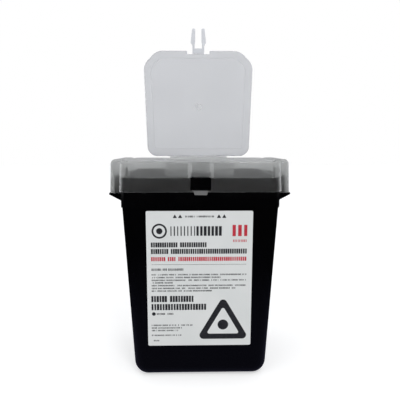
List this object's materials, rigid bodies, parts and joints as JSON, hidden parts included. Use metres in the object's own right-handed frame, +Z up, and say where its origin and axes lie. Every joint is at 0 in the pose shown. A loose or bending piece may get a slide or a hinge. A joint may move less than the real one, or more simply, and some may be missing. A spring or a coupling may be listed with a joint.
{
  "type": "sharps container",
  "caption": "Tapered black sharps bucket with a translucent press-on cover, a hinged square flap over the throat, a barbed locking fork and a label on its front.",
  "frame": {"origin": "centre of the base, on the surface that the container stands on", "axes": "+Z up; the front, with the label, faces -Y; +X to the right seen from the front"},
  "size_m": [0.1482, 0.1154, 0.2989],
  "materials": {
    "black_plastic": "gloss",
    "clear_plastic": "translucent satin polypropylene",
    "label_paper": "semi-matt printed film"
  },
  "bodies": {
    "bucket": {"container_body": "black_plastic", "front_label": "label_paper"},
    "cover_shell": {"cover": "clear_plastic", "flap_hinge": "clear_plastic"},
    "flap_plate": {"flap": "clear_plastic", "latch_hinge": "clear_plastic"},
    "fork": {"latch_neck": "clear_plastic"},
    "prong_left": {"latch_prong_left": "clear_plastic"},
    "prong_right": {"latch_prong_right": "clear_plastic"}
  },
  "joints": [
    {"name": "cover_lift", "type": "slide", "parent": "bucket", "child": "cover_shell", "axis": [0, 0, 1], "range_m": [0, 0.05]},
    {"name": "flap_turn", "type": "hinge", "parent": "cover_shell", "child": "flap_plate", "pos_m": [0, 0.04163, 0.1785], "axis": [1, 0, 0], "range_deg": [-75, 90]},
    {"name": "fork_fold", "type": "hinge", "parent": "flap_plate", "child": "fork", "pos_m": [0, 0.04163, 0.27573], "axis": [1, 0, 0], "range_deg": [0, 90], "stiffness_Nm_per_rad": 0.003},
    {"name": "prong_left_flex", "type": "hinge", "parent": "fork", "child": "prong_left", "pos_m": [-0.00455, 0.04243, 0.28073], "axis": [0, 1, 0], "range_deg": [0, 8], "stiffness_Nm_per_rad": 0.05},
    {"name": "prong_right_flex", "type": "hinge", "parent": "fork", "child": "prong_right", "pos_m": [0.00455, 0.04243, 0.28073], "axis": [0, -1, 0], "range_deg": [0, 8], "stiffness_Nm_per_rad": 0.05}
  ],
  "couplings": [
    {"joint": "prong_right_flex", "follows": "prong_left_flex", "ratio": 1}
  ]
}
